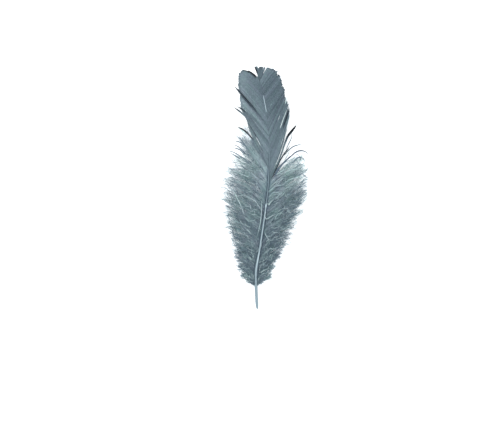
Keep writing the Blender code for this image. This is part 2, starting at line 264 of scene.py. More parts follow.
PLAIN = 0.5  # the shade of a barb of web that nothing makes lighter or darker
LOCK_SIDES = (-0.6, 0.9)  # where across a lock its lower side ends and its upper side starts
SLIM_SIDES = (0, 1)
SHADE_WAVES = (3 * MM, 1.3 * MM, 7 * MM)
WAVE_SIZES = (0.6, 1)
SHADE_WAVE = 0.045
SHADE_STRAY = 0.05
FAN_SHADED = (0.3, 0.7)  # where along the fan's barbs its own shade sets in
UPPER_WEB = (95 * MM, 125 * MM)  # the web gets denser between these roots
EDGE_DARKER = (0.04, 0.2)  # how much darker the barbs' ends are everywhere, and in the upper web besides
FOOT_PAINTED_SHADE = 0.12  # painted shade: how much darker their roots are painted beside the shaft in the lower web, where shade falls
EDGE_FROM, FOOT_END = 0.9, 0.05  # from and up to which share of their length
BAND_SOFT = 0.08  # share of the barbs' length in which a band starts and ends

# How much smaller than the solids' is the angle at which barbs of down leave the shaft: (station, degrees).
DOWN_BEND = {
    LEFT: [(15.5, 0), (45, 0), (58, -8), (66, -6), (75, 14), (81, 12), (86.2, 2)],
    RIGHT: [(15.5, 0), (35, 0), (48, -16), (60, -22), (70, -20), (77, -16), (80.8, -10)],
}
DOWN_POINTS = np.linspace(0, 1, 25)  # places of a barb's points along it
DOWN_LOWEST = 0.15 * MM
DOWN_SECTION = [(-1, -0.03 * MM), (0, 0.03 * MM), (1, -0.03 * MM)]
STRANDS = 11  # strands in a lock of down
STRAND_SPREAD = 1.15  # how far they spread, in half widths of the lock
STRAND_EDGE = 1.2  # and no further than this
STRAND_STRAY = 0.08  # most that one strays from its even place, in the same measure
STRAND_SWING = 9.0  # most degrees that one strays in its lock
STRAND_LENGTHS = (0.84, 1.04)
STRAND_LEVEL = 0.35  # most that one lies over or under the middle, in half thicknesses of the lock
STRAND_SWAY = {LEFT: 1.0 * MM, RIGHT: 1.5 * MM}  # most that one waves to either side
STRAND_SWAY_UP = 0.22  # the same up and down, in thicknesses
STRAND_WAVES = (0.7, 2.2)
STRAND_BARBS = 5
STRAND_WIDTH = 0.42 * MM  # how far its barbs part in the middle
STRAND_CURL = 1.4 * MM  # how far the tips stray
BARB_ASIDE = 0.15 * MM  # how far they part everywhere
BARB_ABOVE = 0.3 * MM
BARB_LENGTHS = (0.62, 1)
DOWN_PLAIN = 0.45
STRAND_SHADE = 0.045  # how much the shades of strands differ
BARB_SHADE = 0.03  # and those of the barbs in one
WISPS = 0.15  # share of the strands that are slim light wisps and lie on top
WISP_LEVELS = (0.35, 0.7)
WISP_SWAY = 1.5
WISP_WIDTH = 0.45
WISP_LIGHTER = 0.15
BARBULES = 96  # on each barb of down
# Next to the web the down is webbed near the shaft, and further out under the web's edge.
WEBBED_ROOTS = (60 * MM, 84 * MM)  # this sets in between these roots
WEBBED_END = (0.2, 0.7)  # where along a barb it ends
WEBBED_BARBULES_END = (0.3, 0.65)
WEBBED_WIDTH = 0.1 * MM  # how much further to either side such barbs reach
UNDER_ROOTS = (84 * MM, 86 * MM)
UNDER_FURTHER = 0.25
# How much lighter the down is, by the station of its roots: (station, at the roots, at the tips).
DOWN_LIGHTER = {
    LEFT: [(15, -0.08, -0.08), (62, -0.02, -0.02), (75, -0.03, 0.05), (84, 0, 0.14), (87, 0.08, 0)],
    RIGHT: [(15, -0.1, -0.1), (45, -0.12, -0.12), (62, 0.03, 0.03), (75, 0, 0.13), (81, 0, 0.28)],
}
# Locks under the web's edge that the solids leave out: (first root, last root, how much longer they are).
DOWN_EXTRA = {LEFT: [(84.8, 88.2, 1.15), (87.4, 92.4, 1.35)], RIGHT: []}
EXTRA_STAND = -0.7 * MM
EXTRA_THICKNESS = 1.2 * MM
TUFTS = 14  # on either side of a barb, in which its barbules hold together
BARBULE_LENGTH = 2.3 * MM
BARBULE_WIDTH = 0.085 * MM
BARBULE_TAPER = 0.8  # its width in the middle, as a share of that at the root
BARBULE_TILT = 0.6
BARBULE_FACES = np.array([(0, 1, 3), (0, 3, 2), (2, 3, 4)])  # between its root, its middle and its tip
# The barbules of one tuft are alike: (least, most, how much one strays from its tuft).
TUFT_CLIMB = (-0.9, 1.1, 0.25)  # up from the side, in radians
TUFT_ANGLE = (26, 62, 6)  # to the barb, in degrees
TUFT_BEND = (0, 0.8, 0.15)  # share of this angle that is left at the tip
TUFT_LENGTH = (0.65, 1.15, 0.12)
TUFT_HELD = (0.2, 0.75)  # how far their tips come together
TUFT_LIGHTER = (-0.14, 0.14)
BARBULE_WIDTHS = (0.7, 1.3)
# Painted shade on the down beside the shaft: how far out it reaches and how much darker it is.
SHAFT_SIDE = 1.1 * MM  # how far beside the shaft the down is darker
SHAFT_PAINTED_SHADE = 0.6
RAMUS_WIDTH = (0.16 * MM, 0.05 * MM)  # of a barb of down at its root and at its tip
RAMUS_LIGHTER = (0.05, 0.1)  # at its root, and how much more at its tip
FIRST_BARBULE = 0.02
BARBULES_GROW = (-0.04, 0.12)  # where along a barb they come to their full length
FLUFF_SEED = 31

# Hairs that stray over the rest: (how light, width in mm, then across and along of each point in mm). The two
# that are lighter than 1 lie on the web as painted light: thin bright lines where light shows through slits
# in it.
STRAYS = [
    (0.85, 0.45, 5.6, 64, 5, 61, 6.2, 59.2, 9.7, 61.2, 14, 63.4),
    (0.8, 0.45, 2.9, 70.6, 2.8, 65, 2.2, 58.5, 1, 52, -0.4, 47),
    (0.8, 0.45, 4.8, 50.4, 6, 47.8, 7.4, 45.6, 8, 42.6),
    (1, 0.45, 6.7, 69.6, 7.6, 68.4, 8.6, 70.2, 11, 72.6),
    (0.8, 0.45, 2, 66, -1.2, 70.6, -6.8, 74, -12, 76.3),
    (0.9, 0.45, -8.6, 62, -10.7, 67.8, -12.7, 71.7, -16, 78.3, -18.8, 82),
    (0.85, 0.45, -5, 86.4, -8.8, 87.9, -12.7, 89.6, -17, 91),
    (0.8, 0.45, 11.5, 58, 12.9, 62, 15.8, 63.2, 18, 61.4),
    (0.75, 0.45, 7.2, 77, 12, 80.6, 16, 81.4, 20, 84.2),
    (0.75, 0.45, 7.4, 73.6, 11.6, 76.8, 14.6, 76.2, 18.2, 79.4),
    (-0.6, 1.1, 13.8, 92.6, 15.8, 94.6, 18.2, 96.9, 21, 99.6, 23.9, 102.1),
    (0.1, 1.6, 11.2, 87, 12.6, 89.8, 14.2, 92.4, 16, 94.4, 18.4, 96.6),
    (-0.1, 0.9, 16.9, 95.4, 22.2, 100.4, 25, 102.9, 27.2, 103.9, 29.2, 104.1, 31.2, 103.6, 33,
     102.2, 34.2, 99),
    (0.7, 0.45, 14, 93, 19, 96.6, 24, 98.8, 28.5, 98.2),
    (0.3, 0.75, 23, 96, 27, 99.6, 30, 99, 31.6, 95.4),
    (0.1, 0.75, -11.4, 98.7, -13, 99.7, -15.6, 101.4, -18.6, 102.8),
    (0.2, 0.7, -8.6, 101.6, -11.4, 104.6, -14, 105.6, -17, 106.4),
    (0.3, 0.7, -8, 107, -10.7, 109.2, -13.2, 110.2, -16.4, 110.6),
    (0.3, 0.6, 18.9, 104.6, 20.9, 109.2, 22.2, 111.9, 22.8, 115.8),
    (0.7, 0.45, 17.6, 96.7, 18.9, 99.4, 20.2, 101.3, 21.5, 104.6),
    (0.1, 0.75, 17.6, 101, 21.6, 105.3, 24.6, 107.2, 28.2, 108, 31.4, 107.4),
    (0.9, 0.5, 12.2, 88.2, 15.1, 90, 18, 91.6),
    (0.8, 0.6, 17.3, 89.3, 23.1, 91.6, 29, 92.1),
    (0.95, 0.7, 20.5, 84.6, 24.6, 86, 28, 87, 31, 86.6),
    (0.8, 0.5, 12, 72.6, 15, 75.4, 17.4, 77, 18.6, 75.6),
    (2, 0.55, 18.2, 133.6, 18.8, 136.6, 19.5, 139.8),
    (2, 0.8, 15.2, 118.6, 17.3, 124.6, 19.4, 130.6),
    (0.2, 0.65, -5.6, 100.4, -9.2, 103.6, -13.4, 107.2, -17.6, 108.6),
    (0.3, 0.6, -6, 104.6, -8.8, 108.6, -11.4, 112, -14.6, 114.2),
    (0.2, 0.65, -7.4, 98, -12, 101, -16.6, 103.4, -20.4, 104),
]
TOP_BARBS = 60  # barbs of down on a side by which its upper side is found
TOP_LEVEL = 0.4  # how far over them it is, in thicknesses
TOP_REACH = 2 * MM  # how far to the side
STRAY_STAND = 1.2 * MM  # how far they stand over the rest
STRAY_LOWEST = 3.0 * MM
STRAY_BARBULES = 70
HAIR_BARBULE = 0.7 * MM
HAIR_DARKER = 0.1  # how much darker than the hair its barbules are
HAIR_PHASE = 0.15  # more than 0 leaves a hair some width at its root

# Curls of down on each side: (how many, from and to which share of the barbs' length they grow, least and
# most length in mm, width in mm, darkest and lightest, share of very dark ones, which are painted shadow).
CURLS = [
    (200, 0.08, 0.8, 3, 7, 0.22, 0.55, 0.95, 0.3),
    (90, 0.6, 0.84, 6, 10, 0.3, 0.1, 0.5, 0),
]
CURL_ASIDE = 31 * MM  # no curl reaches further than this from the middle of the box
CURL_TURN = 2.2  # most that one turns from its root to its tip, in radians
CURL_STRAY = 0.5  # how much its heading differs from the barb's, in radians
CURL_LEVELS = (0.3, 0.6)  # how high in the down it grows, in thicknesses
CURL_ARCH = 0.8 * MM
CURL_AHEAD = 0.03  # the share of the barb from which it takes its heading
CURL_POINTS = 13
CURL_BARBULES = 30
# The shade of the very dark curls: painted shadow in the down.
CURL_SHADOW = 0.1

QUILL_SIDES = 24
QUILL_STEP = 0.8 * MM
QUILL_TURNS = (13.5 * MM, 25.5 * MM)  # where the round quill turns into the squarer, grooved rachis
QUILL_SQUARE = 0.08
QUILL_GROOVE = (0.35, 0.35)  # depth, as a share of the radius, and half width in radians
QUILL_TIP = 0.1 * MM
# The shaft's look: (station, share of the solid's radius, how light its back is, partly its own tone and
# partly painted highlights, how much painted shade darkens each flank, how far it stands over the axis).
QUILL_LOOK = np.array([
    (0, 0.7, 0.55, 0.1, 0), (1.5, 1, 0.6, 0.1, 0), (15, 1, 0.6, 0.2, 0), (25, 1, 0.75, 0.3, 0.4),
    (34, 1, 0.9, 0.6, 0.4), (40, 1, 0.76, 0.6, 0.4), (66.5, 1, 0.74, 0.6, 0.4),
    (67.6, 1, 1.1, 0.6, 0.5), (68.4, 1, 1.1, 0.6, 0.5), (69.5, 1, 0.45, 1.1, 0.3),
    (98, 0.8, 0.4, 0.9, 0.15), (102, 0.75, 0.32, 0.2, 0), (106, 0.55, 0.26, 0.1, -0.2),
    (128.5, 0.5, 0.26, 0.1, -0.2), (130.5, 0.5, 0.95, 0.1, 0.15), (139.5, 0.45, 0.95, 0.1, 0.15),
    (141.5, 0.4, 0.26, 0.1, -0.2), (153, 0.4, 0.26, 0.1, -0.2),
]) * [MM, 1, 1, 1, MM]
QUILL_BACK = (0.35, 0.85)  # its back ends this far from its top, in radians, and each flank with its painted shade starts

# Colours as the photograph shows them, in display values from 0 to 255.
# The web's lightest colour is for its painted glints and the painted light in its slits.
WEB_COLOURS = [
    (0, (12, 16, 21)), (0.15, (46, 60, 71)), (0.5, (100, 116, 126)), (0.8, (139, 157, 165)),
    (1, (230, 240, 243)),
]
DOWN_COLOURS = [(0, (77, 91, 108)), (0.5, (128, 147, 158)), (1, (196, 216, 217))]
# The dye is slightly greener in some blotches and redder in others: (place in the noise, tint).
WEB_TINTS = [(0.35, (246, 255, 250)), (0.65, (254, 250, 255))]
DOWN_TINTS = [(0.35, (243, 255, 249)), (0.65, (255, 249, 255))]
BLOTCHES = (0.22, 2)  # blotches for each spot of mottling, and their detail
QUILL_COLOURS = [(0, (66, 84, 96)), (0.5, (122, 142, 153)), (1, (190, 210, 219))]
FLOOR = (245, 250, 253)

# Mottling: (spots along the shaft, spots along a barb, their detail, how much lighter or darker they are).
WEB_SPOTS = (180, 24, 4, 0.6)
DOWN_SPOTS = (90, 20, 4, 0.3)
QUILL_SPOTS = (40, 16, 3, 0.3)

WEB_SURFACE = {"Roughness": 0.5, "Specular IOR Level": 0.2}
DOWN_SURFACE = {"Roughness": 0.7, "Specular IOR Level": 0.2}
QUILL_SURFACE = {"Roughness": 0.32, "Coat Weight": 0.15, "Coat Roughness": 0.2}
# The floor glows a little, because the photograph shows hardly any shadow.
FLOOR_SURFACE = {
    "Roughness": 0.9,
    "Specular IOR Level": 0,
    "Emission Color": (1, 1, 1, 1),
    "Emission Strength": 0.5,
}
FLOOR_SIZE = 6.0
FLOOR_GAP = 0.05 * MM  # from the floor up to the feather's lowest points

SKY = (0.95, 0.985, 1, 1)
SKY_STRENGTH = 0.8
LAMPS = [  # name, place, size, power and colour
    ("key", (-0.5, 0.4, 1.55), 0.8, 11.5, (1, 0.98, 0.955)),
    ("fill", (1.1, -0.5, 1.2), 1.2, 4, (1, 1, 1)),
]

# The camera looks straight down on the middle of the photograph's frame.
VIEW_MIDDLE = (-9.6 * MM, -18.6 * MM)
VIEW_WIDTH = 329 * MM
CAMERA_HEIGHT = 3.0
CAMERA_FAR = 20.0  # how far it sees
SENSOR = 36.0


def smooth(keys, at):
    """The rows of numbers that a smooth curve through the keys has at these stations, never past its keys."""
    keys = np.asarray(keys, float)
    x, y = keys[:, 0], keys[:, 1:]
    rise = np.diff(y, axis=0) / np.diff(x)[:, None]
    before, after = rise[:-1], rise[1:]
    turns = before * after <= 0
    between = np.where(turns, 0.0, 2 * before * after / np.where(turns, 1.0, before + after))
    slope = np.concatenate([rise[:1], between, rise[-1:]])
    at = np.clip(np.asarray(at, float), x[0], x[-1])
    i = np.clip(np.searchsorted(x, at) - 1, 0, len(x) - 2)
    span = (x[i + 1] - x[i])[..., None]
    w = (at - x[i])[..., None] / span
    ease = step(0, 1, w)
    ends = y[i] * (1 - ease) + y[i + 1] * ease
    return ends + span * w * (1 - w) * (slope[i] * (1 - w) - slope[i + 1] * w)


def step(low, high, at):
    """0 below low and 1 above high, and smooth between them."""
    w = np.clip((at - low) / (high - low), 0, 1)
    return w * w * (3 - 2 * w)


def shaft_points(stations):
    """Points of the shaft's axis, from above (across, along) and as heights."""
    across, height, _ = smooth(SHAFT, stations).T
    return np.stack([across, stations, height], -1)


def shaft_lean(stations):
    """How far the shaft leans to the right of +Y, in radians."""
    reach = 0.5 * MM
    ahead, behind = shaft_points(stations + reach), shaft_points(stations - reach)
    return np.arctan2(ahead[:, 0] - behind[:, 0], ahead[:, 1] - behind[:, 1])


def barbs(side, roots, like, t, swing=0.0, longer=1.0, bend=0.0):
    """Points at the shares t of the barbs at these roots, which are like those at others. The more they bend,
    the smaller the angle at which they leave the shaft. They end in the same place."""
    angle, turn, length, tip, crown = smooth(np.array(BARBS[side]) * BARB_UNITS, like).T[..., None]
    angle = angle - bend
    turn = turn + 2 * (swing + bend)
    heading = shaft_lean(roots)[:, None] + side * (angle + turn * t / 2)
    chord = length * longer * t * np.sinc(turn * t / (2 * math.pi))
    root = shaft_points(roots)[:, None]
    fall = step(0, 1, t)
    height = root[..., 2] * (1 - fall) + tip * fall + crown * 4 * t * (1 - t)
    across = root[..., 0] + chord * np.sin(heading) - side * ROOT_DEPTH * (1 - t)
    along = root[..., 1] + chord * np.cos(heading)
    return np.stack([across, along, height], -1)


def roots_at(lock, w):
    """Roots of a lock's barbs, by their places across it: -1 at its first root and 1 at its last."""
    first, last = lock["roots"]
    return first + (last - first) * (w + 1) / 2


def lock_lines(side, lock, w, t, swing=0.0, longer=1.0):
    """Centre lines of a lock's barbs at places w across it, with points at the shares t of their length."""
    first, last = lock["roots"]

    def grown(w, swing, longer):
        roots = roots_at(lock, w)
        like = roots if last - first > NARROW else np.full(len(w), (first + last) / 2)
        return barbs(side, roots, like, t, lock["swing"] + swing, lock["longer"] * longer, lock["bend"])

    points = grown(w, swing, longer)
    edges = grown(np.array([-1.0, 1.0]), 0.0, 1.0)[..., :2]
    middle = edges.mean(0)
    half = np.linalg.norm(edges[1] - middle, axis=-1)
    past = np.maximum(t - lock["clear"], 0.0) / (1 - lock["clear"])
    drawn = np.minimum(lock["gap"] / half, MOST_DRAWN) * past**DRAWN_LATE
    points[..., :2] -= (points[..., :2] - middle) * drawn[:, None]
    w = w[:, None]
    points[..., 2] += lock["lift"] * np.sin(math.pi * t) * (1 - w * w * t)
    points[..., 2] += lock["stand"] * np.minimum(LOCK_RISE * t, 1.0) + lock["slope"] * w * t
    return points


def web_locks(side):
    """The web's locks, from the butt up, in metres and radians."""
    for first, last, clear, swing, longer, stand, slope, lower, upper, rim in WEB_LOCKS[side]:
        yield {
            "roots": (first * MM, last * MM),
            "clear": clear,
            "swing": math.radians(swing),
            "longer": longer,
            "gap": WEB_GAP,
            "stand": stand * MM,
            "lift": 0.0,
            "slope": slope * MM,
            "bend": 0.0,
            "slim": SLIM_LOCKS[side].get(first),
            "fan": first * MM > FAN_START,
            "lighter": (lower, upper, rim),
        }


def down_bend(side, roots):
    """How much more than the solids' the barbs of down at these roots bend, in radians."""
    stations, degrees = np.array(DOWN_BEND[side]).T
    return np.radians(np.interp(roots, stations * MM, degrees))


def down_locks(side):
    """The down's locks, from the butt up, in metres and radians, and then those under the web's edge."""
    chance = np.random.default_rng(DOWN_SEED + side)
    ends = np.linspace(DOWN_FIRST, DOWN_LAST[side], DOWN_LOCKS + 1)
    usual = [(first, last, 1.0) for first, last in zip(ends[:-1], ends[1:])]
    extra = [(first * MM, last * MM, longer) for first, last, longer in DOWN_EXTRA[side]]
    for k, (first, last, longer) in enumerate(usual + extra):
        grown = min(1.0, (k + 1) / DOWN_GROWN)
        under = k >= DOWN_LOCKS
        yield {
            "roots": (first, last),
            "clear": DOWN_CLEAR,
            "swing": math.radians(chance.uniform(-DOWN_SWING, DOWN_SWING)) * grown,
            "longer": chance.uniform(*DOWN_LENGTHS) * longer,
            "gap": DOWN_GAP,
            "stand": EXTRA_STAND if under else 0.0,
            "lift": DOWN_LIFT * (1 if k % 2 else -1) * grown,
            "slope": 0.0,
            "bend": float(down_bend(side, (first + last) / 2)),
            "thickness": EXTRA_THICKNESS if under else DOWN_THICKNESS * (0.5 + 0.5 * grown),
        }


# ---- Meshes ----


def unit(vectors):
    return vectors / np.maximum(np.linalg.norm(vectors, axis=-1, keepdims=True), 1e-12)


def directions(lines):
    """Along, across and up at each point of the lines, each at right angles to the others."""
    along = unit(np.gradient(lines, axis=1))
    across = unit(np.cross(along, UP))
    return along, across, np.cross(across, along)


def ribbons(lines, half_widths, profile, roll=0.0):
    """Strips along the lines. The profile gives each strip's section: (share of the half width, height)."""
    _, across, up = directions(lines)
    leaning = across * math.cos(roll) + up * math.sin(roll)
    over = up * math.cos(roll) - across * math.sin(roll)
    shares, heights = np.array(profile).T
    side = leaning[:, :, None] * (half_widths[..., None] * shares)[..., None]
    return lines[:, :, None] + side + over[:, :, None] * heights[:, None]


def sheet_faces(count, rows, columns):
    """Triangles of as many grids of points as count, each of rows by columns."""
    corner = np.arange(count)[:, None, None] * rows * columns
    corner = corner + np.arange(rows - 1)[:, None] * columns + np.arange(columns - 1)
    a, b, c, d = corner, corner + 1, corner + columns + 1, corner + columns
    return np.stack([np.stack([a, b, c], -1), np.stack([a, c, d], -1)], -2).reshape(-1, 3)


def spread(values, shape):
    """The values for every point of an array of points that has this shape."""
    values = np.asarray(values, float)
    values = values.reshape(values.shape + (1,) * (len(shape) - values.ndim))
    return np.broadcast_to(values, shape).reshape(-1)


def placed(name, data, place):
    """A new object in the scene."""
    made = bpy.data.objects.new(name, data)
    made.location = place
    bpy.context.scene.collection.objects.link(made)
    return made


def piece(name, parts, material):
    """A mesh object of several parts, each with its points, its triangles and its marks on every point."""
    start = 0
    points, faces, marks = [], [], {}
    for part in parts:
        points.append(part["points"].reshape(-1, 3))
        faces.append(part["faces"] + start)
        start += len(points[-1])
        for mark, values in part["marks"].items():
            marks.setdefault(mark, []).append(values)
    points, faces = np.concatenate(points), np.concatenate(faces)
    points = points - np.array([*BOX_MIDDLE, 0.0])
    points[:, 2] = np.maximum(points[:, 2], 0.0)
    mesh = bpy.data.meshes.new(name)
    mesh.vertices.add(len(points))
    mesh.vertices.foreach_set("co", points.astype(np.float32).ravel())
    mesh.loops.add(faces.size)
    mesh.loops.foreach_set("vertex_index", faces.astype(np.int32).ravel())
    mesh.polygons.add(len(faces))
    mesh.polygons.foreach_set("loop_start", np.arange(0, faces.size, 3, dtype=np.int32))
    mesh.update(calc_edges=True)
    mesh.shade_smooth()
    for mark, values in marks.items():
        layer = mesh.attributes.new(mark, "FLOAT", "POINT")
        layer.data.foreach_set("value", np.concatenate(values).astype(np.float32))
    unrolled = np.stack([np.concatenate(marks["column"]), np.concatenate(marks["along"])], -1)
    unrolled = UV_MARGIN + (1 - 2 * UV_MARGIN) * unrolled[faces.ravel()]
    layer = mesh.uv_layers.new(name="OFBake")
    layer.data.foreach_set("uv", unrolled.astype(np.float32).ravel())
    mesh.validate()
    made = placed(name, mesh, (0, 0, 0))
    made.data.materials.append(material)
    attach(made, "root")
    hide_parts("feather")


def marked(points, faces, shade, roots, column, along):
    """A part: its points, its triangles and what is marked on its points."""
    values = {"shade": shade, "station": roots / SHAFT_LENGTH, "column": column, "along": along}
    marks = {mark: spread(value, points.shape[:-1]) for mark, value in values.items()}
    return {"points": points, "faces": faces, "marks": marks}


def strips(points, shade, roots, column, t):
    """A part made of strips, one for each barb."""
    along = np.broadcast_to(t, points.shape[:2])
    return marked(points, sheet_faces(*points.shape[:-1]), shade, roots, column, along)


def slivers(points, shade, roots, column, at):
    """A part made of barbules, as many on each barb."""
    lines, count, corners = points.shape[:-1]
    start = np.arange(lines * count)[:, None, None] * corners
    return marked(points, (start + BARBULE_FACES).reshape(-1, 3), shade, roots, column, at)


def between(rows, at):
    """Each line's rows at places from 0 to 1 along it."""
    last = rows.shape[1] - 1
    whole = np.clip((at * last).astype(int), 0, last - 1)
    part = (at * last - whole)[..., None]
    line = np.arange(len(rows))[:, None]
    return rows[line, whole] * (1 - part) + rows[line, whole + 1] * part


def barbule_places(lines, count, chance):
    """Where the barbules of each line grow, as shares of its length."""
    return (np.arange(count) + chance.uniform(0, 1, (lines, count))) / count


def barbules(lines, at, length, rise, chance):
    """The lines' barbules at these places, by turns on either side, and how much lighter each is. Each has
    two points at its root, two at its middle and one at its tip. The more they rise, the rounder a tuft."""
    odd = np.arange(at.shape[1]) % 2
    tuft = np.minimum((at * TUFTS).astype(int), TUFTS - 1)
    own = tuft * 2 + odd

    def by_tuft(low, high):
        return np.take_along_axis(chance.uniform(low, high, (len(lines), 2 * TUFTS)), own, 1)

    def near_by_tuft(low, high, stray):
        return (by_tuft(low, high) + chance.uniform(-stray, stray, at.shape))[..., None]

    climb = near_by_tuft(*TUFT_CLIMB) * rise[..., None]
    angle = np.radians(near_by_tuft(*TUFT_ANGLE))
    bend = near_by_tuft(*TUFT_BEND)
    length = length[..., None] * near_by_tuft(*TUFT_LENGTH)
    held = by_tuft(*TUFT_HELD)[..., None]
    lighter = by_tuft(*TUFT_LIGHTER)
    frames = (lines, *directions(lines))
    turned = np.where(odd, 1.0, -1.0)[:, None]

    def grown(at):
        root, ahead, aside, above = (between(rows, at) for rows in frames)
        out = unit(aside * turned * np.cos(climb) + above * np.sin(climb))
        near = ahead * np.cos(angle) + out * np.sin(angle)
        far = ahead * np.cos(angle * bend) + out * np.sin(angle * bend)
        middle = root + near * length * 0.5
        return root, near, middle, middle + far * length * 0.5

    root, near, middle, tip = grown(at)
    _, _, held_middle, held_tip = grown(np.minimum((tuft + 0.5) / TUFTS, 1.0))
    middle = middle + (held_middle - middle) * held * 0.5
    tip = tip + (held_tip - tip) * held
    flat = unit(np.cross(near, UP + BARBULE_TILT * chance.normal(0, 1, (*at.shape, 3))))
    half = BARBULE_WIDTH / 2 * chance.uniform(*BARBULE_WIDTHS, (*at.shape, 1))
    edge = flat * half
    slimmer = edge * BARBULE_TAPER
    return np.stack([root - edge, root + edge, middle - slimmer, middle + slimmer, tip], -2), lighter


# ---- The web ----


def waves(chance, at, lengths):
    """A wandering line with waves of about these lengths, between about -1 and 1."""
    line = np.zeros(len(at))
    for length in lengths:
        line += np.sin(2 * math.pi * (at / length + chance.uniform())) * chance.uniform(*WAVE_SIZES)
    return line / len(lengths)


def ripples(side, roots, t, across):
    """How far the web's barbs stray together from their lines, to the side and up."""
    chance = np.random.default_rng(RIPPLE_SEED + side)
    moved = 0.0
    for most, direction in ((RIPPLE_ASIDE, across), (RIPPLE_UP, UP)):
        waved = 0.0
        for length in RIPPLES:
            along = t * RIPPLE_RUN * MM + roots[:, None] * chance.uniform(*RIPPLE_SLANT)
            athwart = roots[:, None] + t * chance.uniform(-RIPPLE_DRIFT, RIPPLE_DRIFT) * MM
            wave = np.sin(2 * math.pi * (along / length + chance.uniform()))
            other = np.cos(2 * math.pi * (athwart / (RIPPLE_WIDTH * length) + chance.uniform()))
            waved = waved + wave * other
        size = most * waved / len(RIPPLES) * step(0, RIPPLE_IN, t)
        size = size * (1 - RIPPLE_CALM * step(RIPPLE_OUT, 1, t))
        moved = moved + size[..., None] * direction
    return moved


def toothed(lines, tooth, start, most):
    """The lines of a lock's barbs with their ends held together, tooth by tooth, from this share on."""
    held = step(start, 1.0, np.linspace(0, 1, lines.shape[1]))[:, None] * most
    made = lines.copy()
    for k in np.unique(tooth):
        own = lines[tooth == k]
        made[tooth == k] = own + (own.mean(0) - own) * held
    return made


def web_roots(lock):
    """The roots of a lock's barbs, and their places from -1 to 1 across the lock."""
    first, last = lock["roots"]
    count = round((last - first) / (FINE_SPACING if lock["slim"] or lock["fan"] else WEB_SPACING))
    w = (np.arange(count) + 0.5) * 2 / count - 1
    return roots_at(lock, w), w


def shade_beside_shaft(lines):
    """How much painted shade falls beside the shaft: 1 at the shaft's side and 0 away from it, for each point
    of the lines.
    """
    stations = np.arange(0, SHAFT_LENGTH, QUILL_STEP)
    across = np.interp(lines[..., 1], stations, shaft_points(stations)[:, 0])
    return np.exp(-(((lines[..., 0] - across) / SHAFT_SIDE) ** 2))


def web_shade(side, lock, roots, w, t, chance):
    """How light each point of the barbs of a lock of web is: its own tone, with painted shade, painted shadow
    and painted glints.
    """
    lower, upper, rim = lock["lighter"]
    # The lock's sides and rim: partly darker barbs and partly painted shadow where locks overlap.
    shade = PLAIN + lower + (upper - lower) * step(*(SLIM_SIDES if lock["slim"] else LOCK_SIDES), w)
    shade = shade + rim * step(*WEB_RIM, roots - lock["roots"][1])
    shade = shade + SHADE_WAVE * waves(chance, roots, SHADE_WAVES)
    shade = shade[:, None] + chance.normal(0, SHADE_STRAY, (len(roots), 1))
    if lock["fan"]:
        shade = PLAIN + (shade - PLAIN) * step(*FAN_SHADED, t)
    # Painted light and shade along the barbs, with the web's own tone.
    inner, half, outer = smooth(np.array(WEB_LIGHTER[side]) * [MM, 1, 1, 1], roots).T[..., None]
    shade = shade + inner + (half - inner) * step(0, 0.5, t) + (outer - half) * step(0.5, 0.95, t)
    high = step(*UPPER_WEB, roots)[:, None]
    shade = shade - (EDGE_DARKER[0] + EDGE_DARKER[1] * high) * step(EDGE_FROM, 1, t)
    # Painted shade at the barbs' roots beside the shaft, in the lower web.
    shade = shade - FOOT_PAINTED_SHADE * (1 - high) * (1 - step(0, FOOT_END, t))
    if lock["slim"]:
        return PLAIN + (shade - PLAIN) * step(*lock["slim"][3:], t)
    # Bands of painted glints, painted light in slits and painted shadow along overlapping edges.
    for station, start, end, lighter, width in LIGHT_AND_SHADE_BANDS[side]:
        close = np.exp(-(((roots - station * MM) / (width * MM)) ** 2))[:, None]
        fading = step(start, start + BAND_SOFT, t) * (1 - step(end - BAND_SOFT, end, t))
        shade = shade + lighter * close * fading
    return shade


def web_lengths(side, lock, roots, closed, chance):
    """How long each barb of a lock of web is, as a share of its usual length."""
    count = len(roots)
    tooth = np.repeat(chance.normal(0, 1, count // TOOTH_BARBS + 1), TOOTH_BARBS)[:count]
    ragged = chance.normal(0, 1, (count, 1)) * (RAGGED + LOOSE_RAGGED * (1 - closed))
    if lock["slim"]:
        return 1 + SLIM_RAGGED * ragged
    if lock["fan"]:
        place = (roots - roots[0]) / FAN_TOOTH % 1
        return 1 + ragged + FAN_RAGGED * (4 * np.abs(place - 0.5) - 1)[:, None]
    rough = np.interp(roots, LOBE_ROOTS, TOOTH_RAGGED) if side == RIGHT else TOOTH_RAGGED[0]
    return 1 + ragged + (tooth * rough)[:, None]


def web_lines(side, lock, roots, w, t, closed, chance):
    """Centre lines of the barbs of a lock of web, before their ends stray."""
    lines = lock_lines(side, lock, w, t, longer=web_lengths(side, lock, roots, closed, chance))
    _, across, _ = directions(lines)
    if lock["slim"]:
        bow, half, full = lock["slim"][:3]
        body = half * MM * step(0, full, t) * (1 - step(SLIM_TAPER, 1, t))
        bow = bow * MM * step(*SLIM_BOW[:2], t) * (1 - step(*SLIM_BOW[2:], t))
        lines = lines - side * across * (w[:, None] * body + bow)[..., None]
    elif lock["fan"]:
        lines = toothed(lines, ((roots - roots[0]) / FAN_TOOTH + 0.5).astype(int), *FAN_HELD)
    else:
        own = ((roots - roots[0]) / TOOTH * chance.uniform(*TOOTH_WIDTHS)).astype(int)
        lines = toothed(lines, own, *TOOTH_HELD[side])
    if not lock["fan"]:
        lines = lines + ripples(side, roots, t, across)
    lines[..., 2] += chance.normal(0, WEB_UNEVEN, (len(roots), 1))
    return lines


